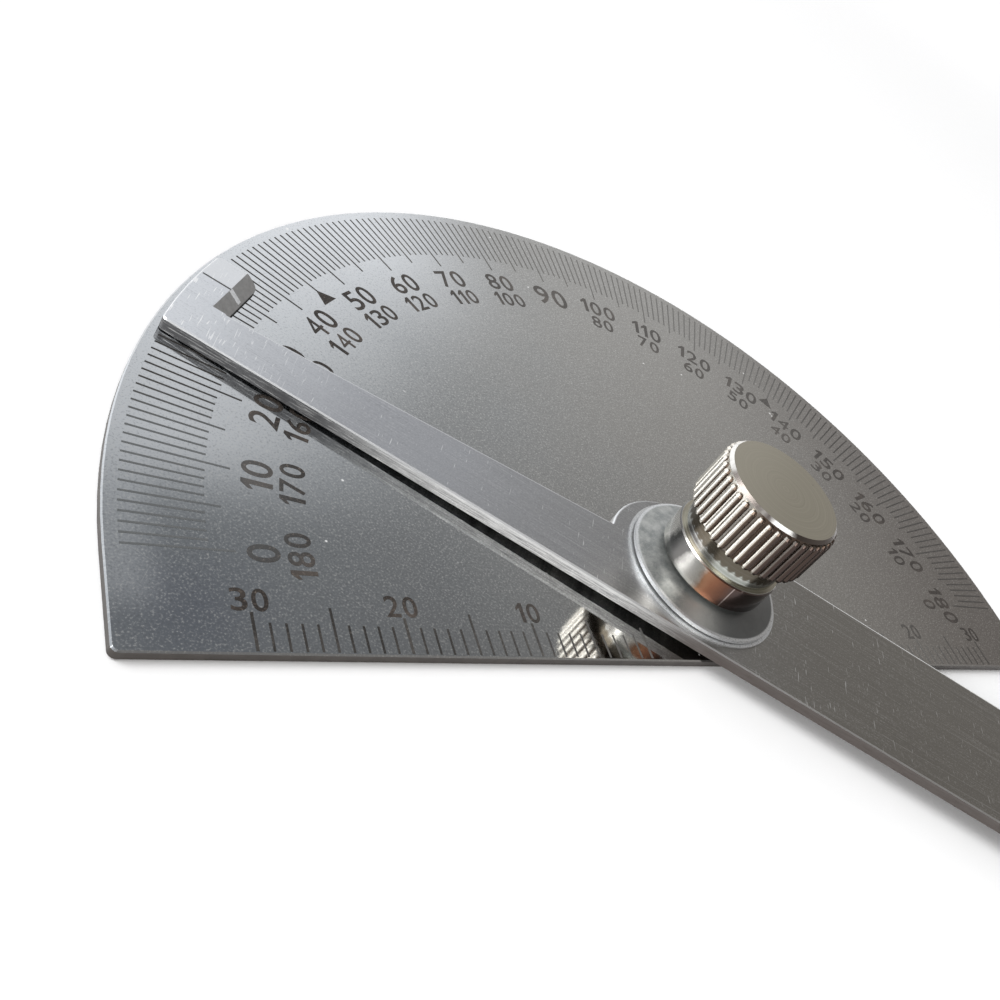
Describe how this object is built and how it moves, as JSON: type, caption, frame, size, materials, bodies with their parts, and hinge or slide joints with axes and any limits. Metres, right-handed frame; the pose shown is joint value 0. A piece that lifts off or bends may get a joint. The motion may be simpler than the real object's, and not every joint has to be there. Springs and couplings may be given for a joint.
{
  "type": "protractor",
  "caption": "Steel protractor with a half-round graduated head, a swinging arm with an index pointer and a knurled thumb nut that clamps it.",
  "frame": {"origin": "on the pivot axis, at the head's back face", "axes": "+Z along the pivot up through the nut, +X along the base edge towards the 180 degree mark, +Y away from the base edge"},
  "size_m": [0.1708, 0.1346, 0.0131],
  "materials": {
    "plate_steel": "satin",
    "arm_steel": "satin",
    "washer_steel": "matt",
    "nickel": "polished and knurled",
    "etched_marks": "matt"
  },
  "bodies": {
    "head": {"head_plate": "plate_steel", "pivot_stud": "plate_steel", "spacer_washer": "washer_steel"},
    "arm": {"arm": "arm_steel", "friction_washer": "washer_steel"},
    "clamp": {"spring_washer": "washer_steel"},
    "nut": {"thumb_nut": "nickel"}
  },
  "joints": [
    {"name": "arm_swing", "type": "hinge", "parent": "head", "child": "arm", "pos_m": [0, 0, 0], "axis": [0, 0, -1], "range_deg": [-33.55, 146.45]},
    {"name": "nut_lift", "type": "slide", "parent": "head", "child": "clamp", "axis": [0, 0, 1], "range_m": [0, 0.0008]},
    {"name": "nut_turn", "type": "hinge", "parent": "clamp", "child": "nut", "pos_m": [0, 0, 0.0038], "axis": [0, 0, 1], "range_deg": [0, 450]}
  ],
  "couplings": [
    {"joint": "nut_turn", "follows": "nut_lift", "rad_per_m": 7854}
  ]
}
